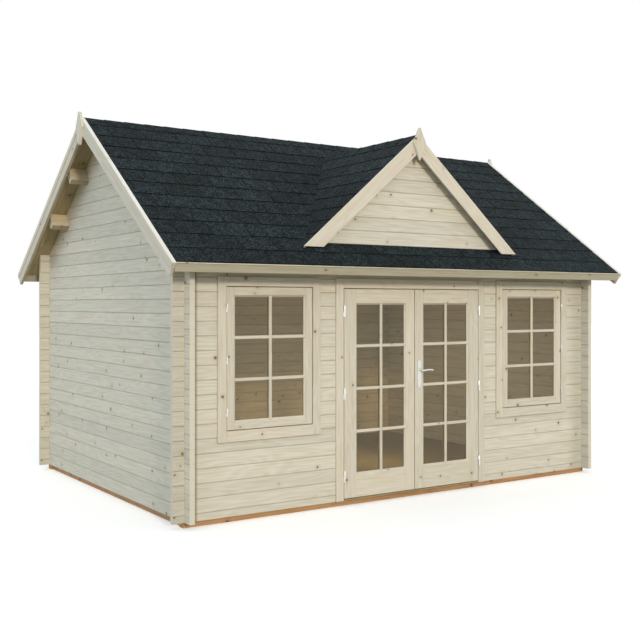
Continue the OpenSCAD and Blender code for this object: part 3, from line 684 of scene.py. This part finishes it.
DORMER_BARGE_WIDTH = 0.125
for side, name in SIDES:
    node = "dormer_barge_" + name
    low, high = span(node)
    end = max(-low[0], high[0])
    drop = DORMER_BARGE_WIDTH / math.cos(DORMER_PITCH)
    line = [
        (0.0, high[2] - drop),
        (side * (end - drop / math.tan(DORMER_PITCH)), low[2]),
        (0.0, high[2]),
        (side * end, low[2]),
    ]
    board = sloped_board(line, high[1], low[1], (0, 1))
    piece(node + "_board", [board], trim, "house", [node])

# Finials: half widths of the blunt tip and foot, and how far below the tip they are widest
FINIAL_TIP, FINIAL_FOOT, FINIAL_DROP = 0.009, 0.004, 0.134


def finial(node, depth_axis, side):
    """Kite-shaped board with blunt ends: its outline carried through its thickness, edges cut back."""
    low, high = span(node)
    wide = (high - low)[1 - depth_axis] / 2
    right = [(FINIAL_FOOT, low[2]), (wide, high[2] - FINIAL_DROP), (FINIAL_TIP, high[2])]
    outline = right + [(-x, z) for x, z in right[::-1]]
    origin = np.zeros(3)
    origin[depth_axis] = (low + high)[depth_axis] / 2
    half = (high - low)[depth_axis] / 2
    plane = (origin, np.eye(3)[1 - depth_axis], UP, side * np.eye(3)[depth_axis])
    kite = plate(outline, plane, -half, half, arris=0.004)
    piece(node + "_kite", [kite], trim, "house", [node])


finial("left_finial", 0, -1)
finial("right_finial", 0, 1)
finial("dormer_finial", 1, -1)

# Floor
FLOOR_BOARDS, FLOOR_JOINT = 35, 0.0005
low, high = span("floor_deck")
at = np.linspace(low[1], high[1], FLOOR_BOARDS + 1)
rows = [((low[0], a + FLOOR_JOINT, low[2]), (high[0], b - FLOOR_JOINT, high[2]), 0)
        for a, b in zip(at[:-1], at[1:])]
piece("floor_boards", [boards(upright(rows), arris=0.002)], bare, "house", ["floor_deck"])

# Frames of the doors and windows: the casing in front of the wall, how far it stands above the lining,
# the lining in the opening and the stops on it
CASING, CASING_DEPTH, CASING_LAP = 0.076, 0.020, 0.008
LINING, STOP = 0.036, 0.012


def frame_boards(low, high, inner_low, inner_high, lining_half, stop_y, foot):
    """Casing, lining and stops round an opening: upright boards at full height, the others between
    them. Low and high are the frame's corners, inner_low and inner_high the opening inside it (X, Z)."""
    wall_y = low[1] + CASING_DEPTH
    lining_top = high[2] - CASING_LAP
    middle = (low[0] + high[0]) / 2
    rows = []
    for outer, inner, lining, way in (
            (low[0], inner_low[0], middle - lining_half, 1),
            (high[0], inner_high[0], middle + lining_half, -1)):
        a, b = sorted((outer, inner))
        rows.append(((a, low[1], low[2]), (b, wall_y, high[2]), 2))
        a, b = sorted((lining, inner))
        rows.append(((a, wall_y, low[2] if foot is None else foot), (b, high[1], lining_top), 2))
        a, b = sorted((inner, inner + way * STOP))
        rows.append(((a, stop_y, inner_low[1]), (b, high[1], inner_high[1]), 2))
    head = inner_high[1]
    spans = [(head, high[2], head, lining_top, head - STOP, head)]
    if foot is not None:
        spans.append((low[2], inner_low[1], foot, inner_low[1], inner_low[1], inner_low[1] + STOP))
    for c0, c1, l0, l1, s0, s1 in spans:
        rows.append(((inner_low[0], low[1], c0), (inner_high[0], wall_y, c1), 0))
        rows.append(((inner_low[0], wall_y, l0), (inner_high[0], high[1], l1), 0))
        rows.append(((inner_low[0] + STOP, stop_y, s0), (inner_high[0] - STOP, high[1], s1), 0))
    return boards(upright(rows), arris=0.0025)


def rails(low, high, stile_low, stile_high, foot, head):
    """Stiles at full height with a foot and a head rail between them."""
    left, right = low[0] + stile_low, high[0] - stile_high
    rows = [
        (low, (left, high[1], high[2]), 2),
        ((right, low[1], low[2]), high, 2),
        ((left, low[1], low[2]), (right, high[1], low[2] + foot), 0),
        ((left, low[1], high[2] - head), (right, high[1], high[2]), 0),
    ]
    return boards(upright(rows), arris=0.003)


# Glazing: lap of the glass in its rails, bars and their depth, cross bars a little shallower, and beads
# that stay back from the rail's face and keep an edge at the glass
GLASS_LAP = 0.010
BAR, BAR_DEPTH, CROSS_BACK = 0.027, 0.015, 0.001
BEAD, BEAD_BACK, BEAD_EDGE = 0.013, 0.004, 0.004


def glazing(pane, face, back, columns, lines):
    """Glazing bars and sloped beads on both sides of a pane. The bars divide the sight size evenly, and
    a bead's face falls from the rail towards the glass."""
    low, high = span(pane)
    x = np.array([low[0] + GLASS_LAP, high[0] - GLASS_LAP])
    z = np.array([low[2] + GLASS_LAP, high[2] - GLASS_LAP])
    posts = np.linspace(x[0], x[1], columns + 1)
    bars, beads = [], []
    for glass_y, rail_y in ((low[1], face), (high[1], back)):
        way = np.sign(rail_y - glass_y)
        ends = sorted((glass_y, glass_y + way * BAR_DEPTH))
        for at in posts[1:-1]:
            bars.append(((at - BAR / 2, ends[0], z[0]), (at + BAR / 2, ends[1], z[1]), 2))
        for at in np.linspace(z[0], z[1], lines + 1)[1:-1]:
            for n in range(columns):
                left = posts[n] + (BAR / 2 if n else 0.0)
                right = posts[n + 1] - (BAR / 2 if n < columns - 1 else 0.0)
                bars.append(((left, ends[0], at - BAR / 2), (right, ends[1] - CROSS_BACK, at + BAR / 2), 0))
        deep = glass_y + way * (abs(rail_y - glass_y) - BEAD_BACK)
        thin = glass_y + way * BEAD_EDGE
        for axis in (0, 2):
            run, cross = (x, z) if axis == 0 else (z, x)
            for edge, inward in ((cross[0], BEAD), (cross[1], -BEAD)):
                corner = np.empty((8, 3))
                cut = np.where(CORNERS[:, 1] == 1, BEAD, 0.0)
                corner[:, axis] = np.where(CORNERS[:, 0] == 1, run[1] - cut, run[0] + cut)
                corner[:, 2 - axis] = np.where(CORNERS[:, 1] == 1, edge + inward, edge)
                front = np.where(CORNERS[:, 1] == 1, thin, deep)
                corner[:, 1] = np.where(CORNERS[:, 2] == 1, front, glass_y)
                beads.append(corner)
    return [boards(upright(bars), arris=0.004), boards(np.array(beads), arris=0.001)]


# Doors: gap over the leaves, face of the stops behind them, and the rails of a leaf
LEAF_GAP, DOOR_STOP_Y = 0.0055, -1.5995
HINGE_STILE, MEETING_STILE, FOOT_RAIL, HEAD_RAIL = 0.125, 0.096, 0.199, 0.124
low, high = span("door_frame")
leaf_low, leaf_high = span("right_door")
door_half = high[0] - CASING
door_frame = frame_boards(low, high, (-door_half, low[2]), (door_half, leaf_high[2] + LEAF_GAP),
                          door_half + LINING, DOOR_STOP_Y, None)
piece("door_frame_boards", [door_frame], trim, "house", ["door_frame"])
threshold = boards(upright([(*span("door_threshold"), 0)]), arris=0.004)
piece("threshold_board", [threshold], bare, "house", ["door_threshold"])

for name, stiles in (("left", (HINGE_STILE, MEETING_STILE)), ("right", (MEETING_STILE, HINGE_STILE))):
    low, high = span(name + "_door")
    body = name + "_leaf"
    leaf = rails(low, high, *stiles, FOOT_RAIL, HEAD_RAIL)
    piece(name + "_leaf_rails", [leaf], trim, body, [name + "_door"])
    bars = glazing(name + "_door_glass", low[1], high[1], 2, 4)
    piece(name + "_leaf_bars", bars, trim, body)

# Windows: a sash is drawn a little smaller than its solid, so that its joint with the frame shows
SASH_PLAY, SASH_GAP = 0.002, 0.003
SASH_STILE, SASH_FOOT = 0.070, 0.064
# Height at which the lining of a window starts
WINDOW_FOOT = 0.672
for name in ("left", "right"):
    low, high = span(name + "_window_frame")
    sash_low, sash_high = span(name + "_window_sash")
    inner_low = (sash_low[0] - SASH_PLAY, sash_low[2] - SASH_PLAY)
    inner_high = (sash_high[0] + SASH_PLAY, sash_high[2] + SASH_PLAY)
    lining = (inner_high[0] - inner_low[0]) / 2 + LINING
    casing = frame_boards(low, high, inner_low, inner_high, lining, sash_high[1], WINDOW_FOOT)
    piece(name + "_window_casing", [casing], trim, "house", [name + "_window_frame"])
    inset = np.array([SASH_GAP, 0.0, SASH_GAP])
    stile, foot = SASH_STILE - SASH_GAP, SASH_FOOT - SASH_GAP
    sash_rails = rails(sash_low + inset, sash_high - inset, stile, stile, foot, stile)
    piece(name + "_window_sash_rails", [sash_rails], trim, "house", [name + "_window_sash"])
    bars = glazing(name + "_window_glass", sash_low[1], sash_high[1], 2, 3)
    piece(name + "_window_bars", bars, trim, "house")

# Door hinges: a fixed knuckle with a pin, and over it a knuckle on the leaf, each with a lug
HINGE_R, HINGE_EDGE = 0.008, 0.001
KNUCKLE, KNUCKLE_GAP = 0.048, 0.0003
PIN, PIN_R, PIN_RISE = 0.04, 0.004, 0.0474
LUG, LUG_SHORT = 0.014, 0.006


def knuckle(x, y, base, height, radius, domed):
    """Turned hinge barrel: a straight side, a small cut at both ends and, where domed, a round top."""
    if domed:
        turn = np.linspace(0, math.pi / 2, 6)[:-1]
        rise = np.r_[0.0, HINGE_EDGE, height - radius * 0.5 + radius * 0.5 * np.sin(turn), height]
        out = np.r_[radius - HINGE_EDGE, radius, radius * np.cos(turn), radius * 0.08]
    else:
        rise = np.array([0.0, HINGE_EDGE, height - HINGE_EDGE, height])
        out = np.array([radius - HINGE_EDGE, radius, radius, radius - HINGE_EDGE])
    path = np.c_[np.full(len(rise), x), np.full(len(rise), y), base + rise]
    return turned(path, out, UP)


pins_low, pins_high = span("door_hinge_pins")
hinge_out = abs(span("left_door_hinges")[0][0] + HINGE_R)
hinge_y = pins_low[1] + HINGE_R
hinge_feet = np.linspace(pins_low[2], pins_high[2] - KNUCKLE - PIN_RISE, 3)
lower = []
for side, name in SIDES:
    x = hinge_out * side
    upper = []
    for foot in hinge_feet:
        top = foot + KNUCKLE
        lower.append(knuckle(x, hinge_y, foot, KNUCKLE, HINGE_R, False))
        lower.append(turned([(x, hinge_y, top), (x, hinge_y, top + PIN)], [PIN_R, PIN_R], UP, 12))
        a, b = sorted((x, x + side * LUG))
        lug = upright([((a, hinge_y, foot), (b, leaf_low[1], top), 2)])
        lower.append(boards(lug, arris=0.001))
        base = top + KNUCKLE_GAP
        upper.append(knuckle(x, hinge_y, base, KNUCKLE, HINGE_R, True))
        a, b = sorted((x, x - side * LUG))
        lug = upright([((a, hinge_y, base), (b, leaf_low[1], base + KNUCKLE - LUG_SHORT), 2)])
        upper.append(boards(lug, arris=0.001))
    piece(name + "_leaf_knuckles", upper, steel, name + "_leaf", [name + "_door_hinges"])
piece("frame_knuckles", lower, steel, "house", ["door_hinge_pins"])

# Window hinges: heights of their middles, barrel, place off the sash edge and the casing, and two leaves
SASH_HINGES = (0.866, 1.276, 1.686)
SASH_HINGE_R, SASH_KNUCKLE, SASH_HINGE_GAP = 0.005, 0.032, 0.0005
SASH_HINGE_OFF, SASH_HINGE_OUT = 0.001, 0.005
FLAP, FLAP_NEAR, FLAP_FAR, FLAP_TOP = 0.009, 0.003, 0.030, 0.026
FLAP_ON_CASING, FLAP_ON_SASH = 0.005, 0.0135
for side, name in SIDES:
    sash_low, sash_high = span(name + "_window_sash")
    x = (sash_low[0] if side < 0 else sash_high[0]) + side * SASH_HINGE_OFF
    y = span(name + "_window_frame")[0][1] - SASH_HINGE_OUT
    a0, a1 = sorted((x, x + side * FLAP))
    b0, b1 = sorted((x, x - side * FLAP))
    parts = []
    for mid in SASH_HINGES:
        low_part = SASH_KNUCKLE - SASH_HINGE_GAP
        parts.append(knuckle(x, y, mid - SASH_KNUCKLE, low_part, SASH_HINGE_R, False))
        parts.append(knuckle(x, y, mid, SASH_KNUCKLE, SASH_HINGE_R, True))
        rows = [
            ((a0, y, mid - FLAP_FAR), (a1, y + FLAP_ON_CASING, mid - FLAP_NEAR), 2),
            ((b0, y, mid + FLAP_NEAR), (b1, y + FLAP_ON_SASH, mid + FLAP_TOP), 2),
        ]
        parts.append(boards(upright(rows), arris=0.001))
    piece(name + "_window_hinges", parts, steel, "house")

# Handle: a plate with round corners, and round fittings on it as radii at depths in front of the leaf
PLATE, PLATE_CORNER = 0.006, 0.016
ROSE = ([0.0148, 0.0148, 0.0135, 0.0105], [0.005, 0.0078, 0.009, 0.009])
CYLINDER = ([0.0115, 0.0115, 0.0105, 0.0085, 0.0085, 0.0008],
            [0.005, 0.0082, 0.0092, 0.0092, 0.0098, 0.0098])
SCREW = ([0.0052, 0.0052, 0.004, 0.0006], [0.005, 0.0064, 0.0076, 0.008])
CYLINDER_DROP, SCREW_IN = 0.092, 0.016
low, high = span("handle_plate")
lever_low, lever_high = span("door_lever")
handle_x = (low[0] + high[0]) / 2
pivot_z = (lever_low[2] + lever_high[2]) / 2
turn = np.linspace(0, math.pi / 2, 7)
quarter = np.c_[np.cos(turn), np.sin(turn)] * PLATE_CORNER
w, h = (high[0] - low[0]) / 2 - PLATE_CORNER, (high[2] - low[2]) / 2 - PLATE_CORNER
outline = np.concatenate([
    quarter + (w, h), quarter[::-1] * (-1, 1) + (-w, h),
    quarter * (-1, -1) + (-w, -h), quarter[::-1] * (1, -1) + (w, -h)])
on_leaf = np.array([handle_x, leaf_low[1], (low[2] + high[2]) / 2])
fittings = [plate(outline, (on_leaf, np.eye(3)[0], UP, OUTWARD), 0.0, PLATE, arris=0.0015)]
for z, (radii, depths) in (
        (pivot_z, ROSE), (pivot_z - CYLINDER_DROP, CYLINDER),
        (high[2] - SCREW_IN, SCREW), (low[2] + SCREW_IN, SCREW)):
    path = np.array([handle_x, leaf_low[1], z]) + np.array(depths)[:, None] * OUTWARD
    fittings.append(turned(path, radii, OUTWARD, 24))
piece("handle_plate_dressed", fittings, steel, "right_leaf", ["handle_plate"])

# Lever: a neck out of the plate, a bend, and a bar that thins and sways a little up to a round tip
LEVER_OUT, LEVER_BEND, LEVER_START = 0.050, 0.014, 0.0003
NECK_R, BEND_R, BAR_R, LEAST_R = 0.009, 0.0082, 0.0076, 0.0002
LEVER_TIP, LEVER_SWAY = 0.004, 0.004
NECK_STEPS, BEND_STEPS, BAR_STEPS = 4, 9, 13
out = leaf_low[1] - LEVER_OUT
tip_x = lever_high[0] - LEVER_TIP
turn = np.linspace(0, math.pi / 2, BEND_STEPS)
last = turn[2:]
neck_y = np.linspace(leaf_low[1] - LEVER_START, out + LEVER_BEND, NECK_STEPS)
neck = np.c_[np.full(NECK_STEPS, handle_x), neck_y, np.full(NECK_STEPS, pivot_z)]
bend_x, bend_y = handle_x + LEVER_BEND * (1 - np.cos(turn)), out + LEVER_BEND * (1 - np.sin(turn))
elbow = np.c_[bend_x, bend_y, np.full(BEND_STEPS, pivot_z)][1:]
bar_x = np.linspace(handle_x + LEVER_BEND, tip_x, BAR_STEPS + 1)[1:]
sway = LEVER_SWAY * np.sin(np.linspace(0, math.pi, BAR_STEPS))
bar = np.c_[bar_x, np.full(BAR_STEPS, out), pivot_z + sway]
tip = np.c_[tip_x + LEVER_TIP * np.sin(last), np.full(len(last), out), np.full(len(last), pivot_z)]
radii = np.r_[np.full(NECK_STEPS, NECK_R), np.linspace(NECK_R, BEND_R, BEND_STEPS - 1),
              np.linspace(BEND_R, BAR_R, BAR_STEPS), BAR_R * np.cos(last) + LEAST_R]
lever = turned(np.concatenate([neck, elbow, bar, tip]), radii, None, 24)
piece("lever_handle", [lever], steel, "lever", ["door_lever"])


# Floor under the house, light and camera
def background_seen(tree):
    """1 for the rays by which the camera, metal and glass see the background, 0 for light on the house."""
    path = add(tree, "LightPath").outputs
    seen = calc(tree, "MAXIMUM", path["Is Camera Ray"], path["Is Glossy Ray"])
    return calc(tree, "MAXIMUM", seen, path["Is Transmission Ray"])


def studio_floor(half, drop):
    """White floor that fades into the background and keeps the soft shadow."""
    mesh = bpy.data.meshes.new("studio_floor")
    corners = [(x * half, y * half, drop) for x, y in ((-1, -1), (1, -1), (1, 1), (-1, 1))]
    mesh.from_pydata(corners, [], [(0, 1, 2, 3)])
    material, tree, out = blank("white_studio_paper")
    seen = background_seen(tree)
    colour = blend(tree, seen, "#A89D8B", "#FFFFFF")
    shade = add(tree, "BsdfDiffuse", {"Color": colour}).outputs[0]
    lift = calc(tree, "MULTIPLY", seen, 0.27)
    glow = add(tree, "Emission", {"Color": linear("#FFFFFF"), "Strength": lift}).outputs[0]
    both = add(tree, "AddShader", {0: shade, 1: glow}).outputs[0]
    tree.links.new(both, out.inputs[0])
    mesh.materials.append(material)
    made = stand("studio_floor", mesh)


def sky(colour, strength):
    """Even, slightly cool light from all round; the camera, mirrors and glass see plain white."""
    world = bpy.data.worlds.new("studio_sky")
    bpy.context.scene.world = world
    world.use_nodes = True
    tree = world.node_tree
    tree.nodes.clear()
    seen = background_seen(tree)
    light = add(tree, "Background", {"Color": linear(colour), "Strength": strength}).outputs[0]
    white = add(tree, "Background", {"Color": linear("#FFFFFF"), "Strength": 1.0}).outputs[0]
    both = add(tree, "MixShader", {0: seen, 1: light, 2: white}).outputs[0]
    tree.links.new(both, tree.nodes.new("ShaderNodeOutputWorld").inputs[0])


def lamp(name, kind, strength, colour):
    """A lamp and its object."""
    source = bpy.data.lights.new(name, kind)
    source.energy = strength
    source.color = linear(colour)[:3]
    return source, stand(name, source)


def sun(name, towards, strength, colour, angle):
    """A soft distant lamp that shines from a direction."""
    source, made = lamp(name, "SUN", strength, colour)
    source.angle = math.radians(angle)
    z = np.array(towards) / np.linalg.norm(towards)
    x = np.cross(UP, z)
    x /= np.linalg.norm(x)
    y = np.cross(z, x)
    turned_to = np.eye(4)
    turned_to[:3, :3] = np.stack([x, y, z], axis=1)
    made.matrix_world = turned_to.T


def room_lamp(place, power, colour, radius):
    """Soft warm light inside, so that the room shows through the glass. It isn't seen itself."""
    source, made = lamp("room_lamp", "POINT", power, colour)
    source.shadow_soft_size = radius
    made.location = place
    made.visible_camera = False
    made.visible_glossy = False
    made.visible_transmission = False


studio_floor(half=60.0, drop=-0.0006)
sky("#F0F8FC", 0.72)
sun("low_warm_sun", (-0.18, -1.0, 0.295), 1.43, "#FFEDD8", 7)
sun("cool_side_light", (-1.0, -0.1, 0.15), 0.85, "#DDEEFD", 70)
sun("soft_back_light", (0.6, 1.0, 0.35), 0.7, "#FFF8EE", 80)
room_lamp((0.5, -0.3, 0.9), 26.0, "#FFF6EA", 0.5)

# Level camera of the photograph: focal length and horizon in pixels of its 640 pixel frame
FOCAL, FRAME_SIZE, HORIZON = 955.94, 640.0, 303.52
YAW = math.radians(33.766)
lens = bpy.data.cameras.new("photo_camera")
lens.sensor_width = 36.0
lens.lens = FOCAL / FRAME_SIZE * lens.sensor_width
lens.shift_y = (HORIZON - FRAME_SIZE / 2) / FRAME_SIZE
lens.clip_end = 200.0
camera = stand("photo_camera", lens)
camera.location = (-5.443, -8.266, 1.721)
camera.rotation_euler = (math.pi / 2, 0.0, -YAW)
bpy.context.scene.camera = camera
bpy.context.scene.view_settings.view_transform = "Standard"

bpy.context.view_layer.update()
